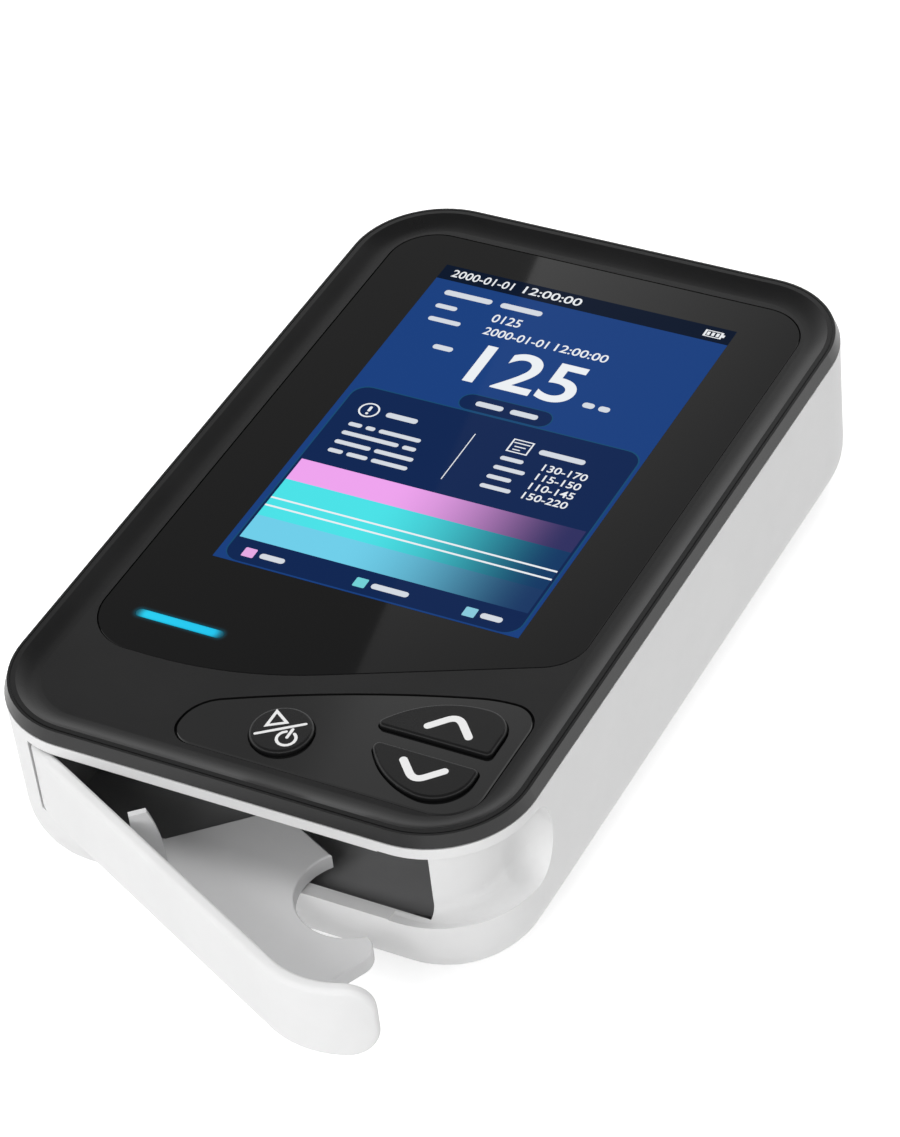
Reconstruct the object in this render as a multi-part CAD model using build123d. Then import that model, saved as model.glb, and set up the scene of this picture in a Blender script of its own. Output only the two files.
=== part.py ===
from build123d import *
from math import asin, atan2, cos, degrees, hypot, radians, sin, sqrt, tan
import os

# Handheld hemoglobin analyzer with a swing-out sample tray.
# Millimetres, +Z up, origin in the middle of the case's flat underside, front towards -Y.

# Body outline and heights
body_width = 81.0
body_length = 128.7
corner_radius = 14.8
housing_height = 27.8
foot_standoff = 0.8
wall = 2.3
floor_thickness = 2.2
wall_draft = 0.6
base_edge_radius = 9.8

# Black cover: a flat rim round a shallow dish
cover_rise = 2.03
cover_draft = 19.5
seam_gap = 0.2
rim_inset = 1.87
dish_inset = 5.3
dish_depth = 1.0
deck_thickness = 1.6
skirt_thickness = 1.2
skirt_gap = 0.15
skirt_length = 1.4
rim_groove_inset = 1.02
rim_groove_width = 0.16
rim_groove_depth = 0.12

# Display window, screen module and status light
window_side_margin = 6.1
window_back_margin = 6.45
window_front_margin = 19.95
window_thickness = 1.1
window_back_radius = 7.5
window_front_radius = 8.4
window_side_radius = 7.0
window_sweep_reach = 43.4
window_sweep_angle = 24.2
window_sweep_radius = 59.0
window_bevel = 0.12
fit_gap = 0.1
window_ledge = 1.8
module_side_margin = 6.65
module_back_margin = 4.25
module_front_margin = 13.15
module_thickness = 2.4
bracket_thickness = 0.5
bracket_lip = 3.0
bracket_side_rim = 6.0
bracket_end_rim = 8.0
light_length = 14.1
light_width = 1.45
light_side_margin = 12.8
light_front_margin = 7.45
light_depth = 3.2

# Control panel and its three buttons, measured left of and behind the panel's front right corner
panel_side_margin = 5.9
panel_front_margin = 6.25
panel_width = 46.35
panel_length = 23.6
panel_rise = 7.9
panel_bulge = 1.75
panel_bulge_shift = 0.975
panel_crest_reach = 7.0
panel_left_radius = 6.5
panel_crest_radius = 20.0
panel_back_radius = 4.2
panel_front_radius = 6.0
panel_low_radius = 3.6
panel_thickness = 0.9
panel_gap = 0.2
panel_bevel = 0.22
panel_ledge = 1.5
button_rise = 0.8
button_travel = 0.6
button_gap = 0.2
button_edge_radius = 0.45
power_reach = 31.6
power_rise = 6.6
power_radius = 4.5
arrow_margin = 2.7
up_front_rise = 12.4
up_back_rise = 20.6
up_tip_reach = 20.5
up_belly_reach = 15.2
up_belly_rise = 18.2
up_back_radius = 4.0
up_tip_radius = 0.8
down_back_rise = 9.6
down_side_rise = 7.9
down_front_rise = 2.1
down_tip_reach = 19.2
down_bottom_reach = 9.3
down_left_belly_reach = 15.2
down_left_belly_rise = 4.7
down_right_belly_reach = 4.7
down_right_belly_rise = 3.3
arrow_corner_radius = 1.0
arrow_stem_reach = 10.1
flange_width = 0.5
flange_thickness = 0.8
stem_radius = 1.6
stem_length = 0.6

# Swing tray: curved front, plate, notch, blade and stop peg
open_angle = 25.5
tray_gap = 0.3
front_thickness = 2.15
opening_top_drop = 1.9
opening_height = 12.9
opening_side_margin = 9.25
hinge_side_margin = 10.6
pin_radius = 0.5
pin_running_gap = 0.05
pin_seat = 1.4
tab_end_angle = -24.3
tab_corner_radius = 4.5
front_edge_radius = 0.8
tab_inner_radius = 1.2
plate_thickness = 2.4
plate_lift = 0.4
plate_reach = 23.8
plate_left_reach = 20.3
plate_left_angle = 68.0
limb_side_reach = 10.9
limb_reach = 18.4
limb_radius = 3.2
notch_side_margin = 25.5
notch_reach = 21.85
notch_radius = 8.28
plate_edge_radius = 0.3
tongue_width = 4.0
tongue_length = 1.1
tongue_height = 1.4
tongue_steps = (-23.0, -10.0, 3.0)
blade_inset = 2.5
blade_y_reach = 6.65
blade_angle = 67.2
blade_base = 4.0
blade_tip = 2.47
blade_belly = 3.6
blade_thickness = 0.9
blade_belly_share = 0.56
peg_inset = 1.3
peg_reach = 22.15
peg_radius = 1.0
peg_length = 1.9

# Seat of the curved tray end, deepening into a finger scoop round the front right corner
seat_depth = 2.6
scoop_depth = 4.2
scoop_half_height = 6.6
scoop_start_angle = -96.0
scoop_end_angle = -1.75
scoop_sections = 7
scoop_end_turns = (30, 55, 75)
seat_radius = 1.3
scoop_radius = 4.0
scoop_wall = 2.0

# Tray bay liner
liner_left_margin = 10.2
liner_right_margin = 11.0
liner_wall = 0.8
liner_gap = 0.15
bay_depth = 24.8
bay_floor_drop = 2.5
bay_roof_drop = 3.3
bay_step_reach = 6.95
liner_leg_radius = 2.0
liner_leg_side_inset = 4.0
liner_leg_back_inset = 3.0

# Case screws and bosses
back_boss_side_margin = 9.3
back_boss_end_margin = 8.35
left_boss_side_margin = 6.6
left_boss_end_margin = 13.85
right_boss_side_margin = 7.0
right_boss_end_margin = 28.35
boss_radius = 3.4
boss_top = 14.2
post_radius = 2.2
screw_radius = 1.1
screw_hole_radius = 1.25
screw_head_radius = 1.9
screw_head_height = 1.4
screw_head_recess = 3.0
screw_length = 17.0
post_bore_gap = 0.05

# Feet
foot_side_margin = 15.5
foot_end_margin = 16.35
foot_radius = 4.0
foot_seat = 0.6

# Electronics
board_thickness = 1.2
board_post_gap = 0.8
board_front_margin = 31.35
board_back_margin = 5.85
board_bracket_gap = 0.33
chip_sizes = ((12.0, 12.0, 1.4), (8.0, 10.0, 1.2), (6.0, 5.0, 1.6), (7.0, 5.0, 1.6))
chip_places = ((-12.0, 48.5), (8.0, 44.5), (-16.0, 24.5), (18.0, 64.5))
keyboard_thickness = 1.0
keyboard_left_overhang = 0.25
keyboard_post_gap = 0.3
keyboard_front_inset = 2.2
keyboard_back_overhang = 0.7
switch_size = 3.6
switch_height = 0.5
dome_radius = 1.3
dome_height = 0.3
port_width = 9.0
port_height = 3.2
port_depth = 7.4
port_wall = 0.35
port_clearance = 0.25
port_corner_relief = 0.05
port_mouth_inset = 0.6
port_back_wall = 1.0
port_tongue_width = 6.6
port_tongue_height = 0.7
port_tongue_inset = 0.8
battery_width = 50.0
battery_length = 62.0
battery_height = 9.0
battery_y = 15.0
battery_corner = 2.5
cradle_wall = 1.4
cradle_height = 6.0
cradle_gap = 0.3
buzzer_radius = 4.5
buzzer_height = 3.0
buzzer_side_inset = 8.2
buzzer_back_inset = 14.5

# Optics: a lamp above the notch, a detector below it, both in line with the notch
beam_reach = 19.85
optic_width = 10.0
optic_front_reach = 14.4
optic_back_reach = 36.0
arm_plate_gap = 0.6
arm_roof_gap = 0.4
optic_floor_gap = 2.0
optic_bore_radius = 2.4
lamp_radius = 2.3
lamp_height = 3.2
lens_radius = 2.3
lens_height = 1.2
lens_recess = 0.3
detector_height = 1.5

# Detent spring
spring_height = 4.0
spring_reach = 15.0
spring_span = 14.0
spring_bow = 0.5

# Heights worked out from the sizes above
parting_z = housing_height
rim_z = parting_z + cover_rise
deck_z = rim_z - dish_depth
under_deck_z = deck_z - deck_thickness
skirt_z = parting_z - skirt_length
opening_top = parting_z - opening_top_drop
sill_z = opening_top - opening_height
front_top = opening_top - tray_gap
front_bottom = sill_z + tray_gap
plate_bottom = sill_z + plate_lift
plate_top = plate_bottom + plate_thickness
bay_floor = sill_z - bay_floor_drop
bay_roof = opening_top - bay_roof_drop
floor_z = floor_thickness
window_z = deck_z - window_thickness
module_top = under_deck_z - fit_gap
module_bottom = module_top - module_thickness
bracket_bottom = module_bottom - fit_gap - bracket_thickness
board_top = bracket_bottom - board_bracket_gap
board_bottom = board_top - board_thickness
port_z = board_bottom - port_height / 2
upper_arm_bottom = plate_top + arm_plate_gap
upper_arm_top = bay_roof - arm_roof_gap
lower_arm_top = plate_bottom - arm_plate_gap
optic_bottom = floor_z + optic_floor_gap
flange_top = deck_z - panel_thickness - fit_gap
stem_bottom = flange_top - flange_thickness - stem_length
switch_top = stem_bottom - button_travel - fit_gap / 2
key_board_top = switch_top - dome_height - switch_height

# Places worked out from the sizes above
front_y = -body_length / 2
back_y = body_length / 2
side_x = body_width / 2
corner_x = side_x - corner_radius
corner_y = front_y + corner_radius
window_half_width = side_x - window_side_margin
window_back = back_y - window_back_margin
window_front = front_y + window_front_margin
window_sweep_x = window_half_width - window_sweep_reach
module_half_width = window_half_width - module_side_margin
module_back = window_back - module_back_margin
module_front = window_front + module_front_margin
light_x = light_side_margin - window_half_width
light_y = window_front + light_front_margin
panel_x = side_x - panel_side_margin
panel_y = front_y + panel_front_margin
opening_left = opening_side_margin - side_x
liner_left = liner_left_margin - side_x
liner_right = side_x - liner_right_margin
notch_x = side_x - notch_side_margin
plate_back_left = notch_x - plate_left_reach
plate_right = notch_x + limb_side_reach
tongue_places = [notch_x + step for step in tongue_steps]
spring_x = notch_x - spring_reach
foot_x = side_x - foot_side_margin
foot_y = back_y - foot_end_margin
back_boss_x = side_x - back_boss_side_margin
right_boss_x = side_x - right_boss_side_margin
boss_places = (
    (-back_boss_x, back_y - back_boss_end_margin),
    (back_boss_x, back_y - back_boss_end_margin),
    (left_boss_side_margin - side_x, front_y + left_boss_end_margin),
    (right_boss_x, front_y + right_boss_end_margin),
)
board_half_width = back_boss_x - post_radius - board_post_gap
board_front = front_y + board_front_margin
board_back = back_y - board_back_margin
hinge_x = hinge_side_margin - side_x
hinge_radius = corner_radius - front_thickness / 2
hinge_y = corner_y - sqrt(hinge_radius**2 - (hinge_x + corner_x) ** 2)
inner_face_y = front_y + front_thickness
hinge_axis = Axis((hinge_x, hinge_y, 0), (0, 0, -1))


def outline(inset=0.0):
    """Body outline seen from above, drawn in by inset."""
    return RectangleRounded(body_width - 2 * inset, body_length - 2 * inset, corner_radius - inset)


def slab(face, bottom, top):
    """Upright solid on a face drawn in the XY plane."""
    return extrude(Pos(0, 0, bottom) * face, amount=top - bottom)


def block(x0, x1, y0, y1, z0, z1):
    """Box from its low and high corners."""
    return Pos((x0 + x1) / 2, (y0 + y1) / 2, (z0 + z1) / 2) * Box(x1 - x0, y1 - y0, z1 - z0)


def rod(x, y, z0, z1, radius):
    """Upright cylinder between two heights."""
    return Pos(x, y, (z0 + z1) / 2) * Cylinder(radius, z1 - z0)


def polar(x, y, radius, angle):
    """Point at an angle in degrees round a centre."""
    return (x + radius * cos(radians(angle)), y + radius * sin(radians(angle)))


def rounded(face, corner, radius):
    """Round the corner of a flat face that lies nearest a point."""
    return fillet(face.vertices().sort_by_distance(Vertex(*corner, 0))[0], radius)


def on_panel(reach, rise):
    """Point at a reach to the left and a rise behind the panel's front right corner."""
    return (panel_x - reach, panel_y + rise)


def opened(shape):
    """Turn a tray piece drawn shut to its open rest pose."""
    return shape.rotate(hinge_axis, open_angle)


def scoop_section(depth, half_height, radius):
    """Upright round-cornered section centred on the body outline."""
    return Plane.XZ * Pos(corner_radius, 0) * RectangleRounded(2 * depth, 2 * half_height, radius)


def scoop_form():
    """Seat of the tray end that eases from a square recess to an oval scoop with a round end."""
    sections = []
    for step in range(scoop_sections):
        share = step / (scoop_sections - 1)
        ease = share**2 * (3 - 2 * share)
        depth = seat_depth + (scoop_depth - seat_depth) * ease
        radius = seat_radius + (scoop_radius - seat_radius) * ease
        angle = scoop_start_angle + (scoop_end_angle - scoop_start_angle) * share
        section = scoop_section(depth, scoop_half_height, min(radius, depth * 0.96))
        sections.append(section.rotate(Axis.Z, angle))
    for turn in scoop_end_turns:
        shrink = cos(radians(turn))
        onward = polar(0, 0, scoop_depth * sin(radians(turn)), scoop_end_angle + 90)
        sizes = (scoop_depth * shrink, scoop_half_height * shrink, scoop_radius * shrink)
        section = scoop_section(*sizes)
        sections.append(Pos(*onward) * section.rotate(Axis.Z, scoop_end_angle))
    tip = polar(*polar(0, 0, corner_radius, scoop_end_angle), scoop_depth, scoop_end_angle + 90)
    sections.append(Vertex(*tip, 0))
    return Pos(corner_x, corner_y, (sill_z + opening_top) / 2) * loft(sections)


def scoop_backing():
    """Thick corner of the case behind the seat and the scoop."""
    thick = scoop_depth + scoop_wall
    bottom = (sill_z + opening_top) / 2 - scoop_half_height - scoop_wall
    ring = Circle(corner_radius) - Circle(corner_radius - thick)
    ring &= Rectangle(corner_radius, corner_radius, align=(Align.MIN, Align.MAX))
    side = Pos(corner_radius - thick, 0) * Rectangle(thick, thick, align=(Align.MIN, Align.MIN))
    return slab(Pos(corner_x, corner_y) * (ring + side), bottom, parting_z)


def lower_housing():
    """White lower case: drafted shell with the tray opening, tab seat, scoop, bosses and cradle."""
    top_face = Pos(0, 0, parting_z) * outline()
    outer = extrude(top_face, amount=housing_height, dir=(0, 0, -1), taper=wall_draft)
    outer = fillet(outer.edges().group_by(Axis.Z)[0], base_edge_radius)
    hollow = extrude(
        Pos(0, 0, parting_z) * outline(wall),
        amount=housing_height - floor_thickness,
        dir=(0, 0, -1),
        taper=wall_draft,
    )
    hollow = fillet(hollow.edges().group_by(Axis.Z)[0], base_edge_radius - wall)
    shell = outer - hollow + (outer & scoop_backing())
    for x, y in boss_places:
        shell += rod(x, y, screw_head_recess, boss_top, boss_radius) & outer
    half_width = battery_width / 2 + cradle_gap
    half_length = battery_length / 2 + cradle_gap
    cradle = block(
        -half_width - cradle_wall,
        half_width + cradle_wall,
        battery_y - half_length - cradle_wall,
        battery_y + half_length + cradle_wall,
        floor_z,
        floor_z + cradle_height,
    ) - block(
        -half_width,
        half_width,
        battery_y - half_length,
        battery_y + half_length,
        floor_z,
        floor_z + cradle_height,
    )
    shell += cradle
    shell -= slab(outline(wall), skirt_z - skirt_gap, parting_z)
    shell -= block(
        liner_left - liner_gap,
        liner_right + liner_gap,
        front_y + wall,
        front_y + bay_depth + liner_wall + liner_gap,
        bay_floor - liner_wall - liner_gap,
        parting_z,
    )
    shell -= block(opening_left, liner_right, front_y - 1, front_y + wall + 1, sill_z, opening_top)
    shell -= scoop_form()
    for x, y in boss_places:
        shell -= rod(x, y, 0, rim_z, screw_hole_radius)
        shell -= rod(x, y, 0, screw_head_height + screw_head_recess, screw_head_radius + fit_gap)
    for x in (-foot_x, foot_x):
        for y in (-foot_y, foot_y):
            shell -= rod(x, y, 0, foot_seat, foot_radius)
    shell -= rod(hinge_x, hinge_y, sill_z - pin_seat, opening_top + pin_seat, pin_radius)
    port_face = Rectangle(port_width + 2 * port_clearance, port_height + 2 * port_clearance)
    port_face = fillet(port_face.vertices(), port_height / 2)
    port_cut = extrude(Plane.XZ * Pos(0, port_z) * port_face, amount=-2 * wall)
    shell -= port_cut.translate((0, back_y - 1.5 * wall, 0))
    return shell


def window_face(inset=0.0):
    """Display window: straight sides, round corners and one long sweeping lower edge."""
    side_front = window_front + window_sweep_reach * tan(radians(window_sweep_angle))
    face = make_face(
        Polyline(
            (-window_half_width, window_front),
            (-window_half_width, window_back),
            (window_half_width, window_back),
            (window_half_width, side_front),
            (window_sweep_x, window_front),
            close=True,
        )
    )
    face = rounded(face, (-window_half_width, window_back), window_back_radius)
    face = rounded(face, (window_half_width, window_back), window_back_radius)
    room = window_sweep_x + window_half_width - window_front_radius
    sweep_radius = min(window_sweep_radius, room / tan(radians(window_sweep_angle / 2)))
    face = rounded(face, (window_sweep_x, window_front), sweep_radius)
    face = rounded(face, (window_half_width, side_front), window_side_radius)
    face = rounded(face, (-window_half_width, window_front), window_front_radius)
    return offset(face, -inset) if inset else face


def control_face(inset=0.0):
    """Inset control panel: a leaf shape with a long upper curve beside the window."""
    start = on_panel(panel_width, panel_rise)
    middle = on_panel(
        (panel_width + panel_crest_reach) / 2 - panel_bulge_shift,
        (panel_rise + panel_length) / 2 + panel_bulge,
    )
    end = on_panel(panel_crest_reach, panel_length)
    back_right = on_panel(0, panel_length)
    front_right = on_panel(0, 0)
    front_left = on_panel(panel_width, 0)
    face = make_face(
        [
            ThreePointArc(start, middle, end),
            Line(end, back_right),
            Line(back_right, front_right),
            Line(front_right, front_left),
            Line(front_left, start),
        ]
    )
    face = rounded(face, start, panel_left_radius)
    face = rounded(face, end, panel_crest_radius)
    face = rounded(face, back_right, panel_back_radius)
    face = rounded(face, front_right, panel_front_radius)
    face = rounded(face, front_left, panel_low_radius)
    return offset(face, -inset) if inset else face


def power_face():
    """Round power button at the level of the panel."""
    return Pos(*on_panel(power_reach, power_rise)) * Circle(power_radius)


def up_face():
    """Upper arrow button: flat front edge, long back curve that runs out to a tip."""
    tip = on_panel(up_tip_reach, up_front_rise)
    belly = on_panel(up_belly_reach, up_belly_rise)
    crest = on_panel(panel_crest_reach, up_back_rise)
    back_right = on_panel(arrow_margin, up_back_rise)
    front_right = on_panel(arrow_margin, up_front_rise)
    face = make_face(
        [
            ThreePointArc(tip, belly, crest),
            Line(crest, back_right),
            Line(back_right, front_right),
            Line(front_right, tip),
        ]
    )
    face = rounded(face, back_right, up_back_radius)
    face = rounded(face, front_right, arrow_corner_radius)
    return rounded(face, tip, up_tip_radius)


def down_face():
    """Lower arrow button: flat back edge over a deep bowl."""
    back_left = on_panel(down_tip_reach, down_back_rise)
    back_right = on_panel(arrow_margin, down_back_rise)
    side = on_panel(arrow_margin, down_side_rise)
    bottom = on_panel(down_bottom_reach, down_front_rise)
    left_belly = on_panel(down_left_belly_reach, down_left_belly_rise)
    right_belly = on_panel(down_right_belly_reach, down_right_belly_rise)
    face = make_face(
        [
            ThreePointArc(back_left, left_belly, bottom),
            ThreePointArc(bottom, right_belly, side),
            Line(side, back_right),
            Line(back_right, back_left),
        ]
    )
    face = rounded(face, back_right, arrow_corner_radius)
    return rounded(face, back_left, arrow_corner_radius)


def top_cover():
    """Black cover: drafted rim, dished deck, window ledge, panel ledge, skirt and screw posts."""
    rim_height = rim_z - parting_z - seam_gap
    cover = extrude(Pos(0, 0, parting_z + seam_gap) * outline(), amount=rim_height, taper=cover_draft)
    cover += slab(outline(wall + skirt_gap), skirt_z, parting_z + seam_gap)
    cover -= slab(outline(wall + skirt_gap + skirt_thickness), skirt_z, under_deck_z)
    run = dish_inset - rim_inset
    arc_radius = (run**2 + dish_depth**2) / (2 * dish_depth)
    half_turn = asin(run / arc_radius) / 2
    belly = (arc_radius * sin(half_turn), arc_radius * (1 - cos(half_turn)))
    section = make_face(
        [
            ThreePointArc((0, 0), belly, (run, dish_depth)),
            Line((run, dish_depth), (run, 2 * dish_depth)),
            Line((run, 2 * dish_depth), (-run, 2 * dish_depth)),
            Line((-run, 2 * dish_depth), (-run, 0)),
            Line((-run, 0), (0, 0)),
        ]
    )
    start = Plane(origin=(0, front_y + dish_inset, deck_z), x_dir=(0, -1, 0), z_dir=(-1, 0, 0))
    path = (Pos(0, 0, deck_z) * outline(dish_inset)).wire()
    cover -= sweep(start * section, path=path)
    cover -= slab(outline(dish_inset + run / 2), deck_z, rim_z)
    groove = outline(rim_groove_inset) - outline(rim_groove_inset + rim_groove_width)
    cover -= slab(groove, rim_z - rim_groove_depth, rim_z)
    cover -= slab(window_face(), window_z, rim_z)
    cover -= slab(window_face(window_ledge), skirt_z, rim_z)
    cover -= slab(control_face(), deck_z - panel_thickness, rim_z)
    cover -= slab(control_face(panel_ledge), skirt_z, rim_z)
    for x, y in boss_places:
        post = rod(x, y, boss_top + post_bore_gap, deck_z - window_thickness, post_radius)
        cover += post
    for x, y in boss_places:
        cover -= rod(x, y, 0, screw_head_height + screw_head_recess + screw_length, screw_radius)
    return cover


def display_window():
    """Gloss window with a slot for the status light."""
    glass = slab(window_face(fit_gap), window_z, deck_z)
    glass = chamfer(glass.faces().sort_by(Axis.Z)[-1].edges(), window_bevel)
    slot = Pos(light_x, light_y) * SlotOverall(light_length + 2 * fit_gap, light_width + 2 * fit_gap)
    return glass - slab(slot, window_z, deck_z)


def status_light():
    """Clear light guide that fills the slot, with a foot under the window."""
    bar = Pos(light_x, light_y) * SlotOverall(light_length, light_width)
    return slab(bar, deck_z - light_depth, deck_z)


def display_module():
    """Liquid crystal module under the window."""
    return block(
        -module_half_width, module_half_width, module_front, module_back, module_bottom, module_top
    )


def display_bracket():
    """Pressed tray that carries the display module on the main board."""
    half_width = module_half_width + fit_gap
    front = module_front - fit_gap
    back = module_back + fit_gap
    outer = block(
        -half_width - bracket_thickness,
        half_width + bracket_thickness,
        front - bracket_thickness,
        back + bracket_thickness,
        bracket_bottom,
        bracket_bottom + bracket_lip,
    )
    inner = block(-half_width, half_width, front, back, bracket_bottom + bracket_thickness, rim_z)
    relief = block(
        bracket_side_rim - half_width,
        half_width - bracket_side_rim,
        front + bracket_end_rim,
        back - bracket_end_rim,
        0,
        rim_z,
    )
    return outer - inner - relief


def control_panel():
    """Inset plate that the buttons come through, bevelled round its edge."""
    plate = slab(control_face(panel_gap), deck_z - panel_thickness, deck_z)
    plate = chamfer(plate.faces().sort_by(Axis.Z)[-1].edges(), panel_bevel)
    for face in (power_face(), up_face(), down_face()):
        plate -= slab(offset(face, button_gap), deck_z - panel_thickness, deck_z)
    return plate


def button(face, stem_x, stem_y):
    """Button cap with a rounded edge, a catch flange under the panel and a stem."""
    cap = slab(face, flange_top, deck_z + button_rise)
    cap = fillet(cap.faces().sort_by(Axis.Z)[-1].edges(), button_edge_radius)
    cap += slab(offset(face, flange_width), flange_top - flange_thickness, flange_top)
    return cap + rod(stem_x, stem_y, stem_bottom, flange_top, stem_radius)


def power_button():
    """Round button."""
    return button(power_face(), *on_panel(power_reach, power_rise))


def up_button():
    """Upper arrow button."""
    return button(up_face(), *arrow_stem(up_back_rise, up_front_rise))


def down_button():
    """Lower arrow button."""
    return button(down_face(), *arrow_stem(down_back_rise, down_front_rise))


def arrow_stem(back, front):
    """Stem place under an arrow button."""
    return on_panel(arrow_stem_reach, (back + front) / 2)


def stem_places():
    """Where the three stems and their switches stand."""
    return (
        on_panel(power_reach, power_rise),
        arrow_stem(up_back_rise, up_front_rise),
        arrow_stem(down_back_rise, down_front_rise),
    )


def key_switches():
    """Three dome switches under the stems."""
    half = switch_size / 2
    body_top = key_board_top + switch_height
    pieces = []
    for x, y in stem_places():
        body = block(x - half, x + half, y - half, y + half, key_board_top, body_top)
        pieces.append(body + rod(x, y, body_top, switch_top, dome_radius))
    return Compound(children=pieces)


def key_board():
    """Small circuit board under the control panel."""
    left = panel_x - panel_width - keyboard_left_overhang
    right = right_boss_x - post_radius - keyboard_post_gap
    front = panel_y + keyboard_front_inset
    back = panel_y + panel_length + keyboard_back_overhang
    return block(left, right, front, back, key_board_top - keyboard_thickness, key_board_top)


def tray_front():
    """Curved white front of the tray: follows the body outline from the hinge round the corner."""
    outer = corner_radius
    inner = corner_radius - front_thickness
    lean = degrees(atan2(hinge_y - corner_y, hinge_x + corner_x))
    halfway = (lean - 90) / 2
    turn = (tab_end_angle - 90) / 2
    left = (-corner_x, corner_y)
    right = (corner_x, corner_y)
    cap_out = polar(*left, outer, lean)
    cap_in = polar(*left, inner, lean)
    cap_far = polar(hinge_x, hinge_y, front_thickness / 2, lean - 90)
    face = make_face(
        [
            ThreePointArc(cap_out, polar(*left, outer, halfway), polar(*left, outer, -90)),
            Line(polar(*left, outer, -90), polar(*right, outer, -90)),
            ThreePointArc(
                polar(*right, outer, -90),
                polar(*right, outer, turn),
                polar(*right, outer, tab_end_angle),
            ),
            Line(polar(*right, outer, tab_end_angle), polar(*right, inner, tab_end_angle)),
            ThreePointArc(
                polar(*right, inner, tab_end_angle),
                polar(*right, inner, turn),
                polar(*right, inner, -90),
            ),
            Line(polar(*right, inner, -90), polar(*left, inner, -90)),
            ThreePointArc(polar(*left, inner, -90), polar(*left, inner, halfway), cap_in),
            ThreePointArc(cap_in, cap_far, cap_out),
        ]
    )
    band = slab(face, front_bottom, front_top)
    ends = band.edges().filter_by(lambda g: abs(g.length - front_thickness) < 1e-3)
    band = fillet(ends, tab_corner_radius)
    band = fillet([g for g in band.edges() if on_front_face(g)], front_edge_radius)
    spare = Rectangle(tab_inner_radius, tab_inner_radius, align=(Align.MIN, Align.MIN))
    spare -= Pos(tab_inner_radius, tab_inner_radius) * Circle(tab_inner_radius)
    spare = revolve(Plane.XZ * Pos(inner, 0) * spare, Axis.Z, tab_end_angle + 90)
    band -= Pos(corner_x, corner_y, front_bottom) * spare.rotate(Axis.Z, -90)
    band -= rod(hinge_x, hinge_y, 0, rim_z, pin_radius + pin_running_gap)
    for x in tongue_places:
        band -= tongue(x, fit_gap / 2)
    return opened(band)


def on_front_face(edge):
    """True for an edge that lies on the outward face of the shut tray front, past the hinge cap."""
    for place in (0.02, 0.5, 0.98):
        point = edge.position_at(place)
        if abs(point.X) <= corner_x:
            off = abs(point.Y - front_y)
        else:
            centre = corner_x if point.X > 0 else -corner_x
            off = abs(hypot(point.X - centre, point.Y - corner_y) - corner_radius)
        if off > 0.01:
            return False
    return True


def tongue(x, extra=0.0):
    """Locating tongue of the plate, or its slot in the tray front."""
    half = tongue_width / 2 + extra
    middle = (plate_bottom + plate_top) / 2
    return block(
        x - half,
        x + half,
        inner_face_y - tongue_length - extra,
        inner_face_y,
        middle - tongue_height / 2 - extra,
        middle + tongue_height / 2 + extra,
    )


def tray_plate():
    """Grey plate: swept side, round notch for the light path, upright blade and stop peg."""
    back = front_y + plate_reach
    limb_back = front_y + limb_reach
    notch_y = front_y + notch_reach
    left_front = plate_back_left - (back - inner_face_y) / sin(radians(plate_left_angle)) * cos(
        radians(plate_left_angle)
    )
    face = make_face(
        Polyline(
            (left_front, inner_face_y),
            (plate_right, inner_face_y),
            (plate_right, limb_back),
            (notch_x, limb_back),
            (notch_x, back),
            (plate_back_left, back),
            close=True,
        )
    )
    face = rounded(face, (plate_right, limb_back), limb_radius)
    face -= Pos(notch_x, notch_y) * Circle(notch_radius)
    plate = slab(face, plate_bottom, plate_top)
    brink = [
        g for g in plate.edges().group_by(Axis.Z)[-1] if g.position_at(0.5).Y > inner_face_y + 0.1
    ]
    plate = fillet(brink, plate_edge_radius)
    for x in tongue_places:
        plate += tongue(x)
    peg_x = plate_back_left + peg_inset
    plate += rod(peg_x, front_y + peg_reach, plate_bottom - peg_length, plate_bottom, peg_radius)
    height = front_top - plate_top
    belly = (blade_belly - blade_base, height * blade_belly_share)
    sail = make_face(
        [
            Line((-blade_base, 0), (0, 0)),
            ThreePointArc((0, 0), belly, (blade_tip - blade_base, height)),
            Line((blade_tip - blade_base, height), (-blade_base, height)),
            Line((-blade_base, height), (-blade_base, 0)),
        ]
    )
    run = (cos(radians(blade_angle)), sin(radians(blade_angle)), 0)
    across = (sin(radians(blade_angle)), -cos(radians(blade_angle)), 0)
    foot = (plate_back_left - blade_inset, front_y + blade_y_reach, plate_top)
    upright = Plane(origin=foot, x_dir=run, z_dir=across)
    plate += extrude(upright * sail, amount=blade_thickness / 2, both=True)
    return opened(plate)


def hinge_pin():
    """Steel pin through the tray front, held in the sill and in the lip over the opening."""
    return rod(hinge_x, hinge_y, sill_z - pin_seat, opening_top + pin_seat, pin_radius)


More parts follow.
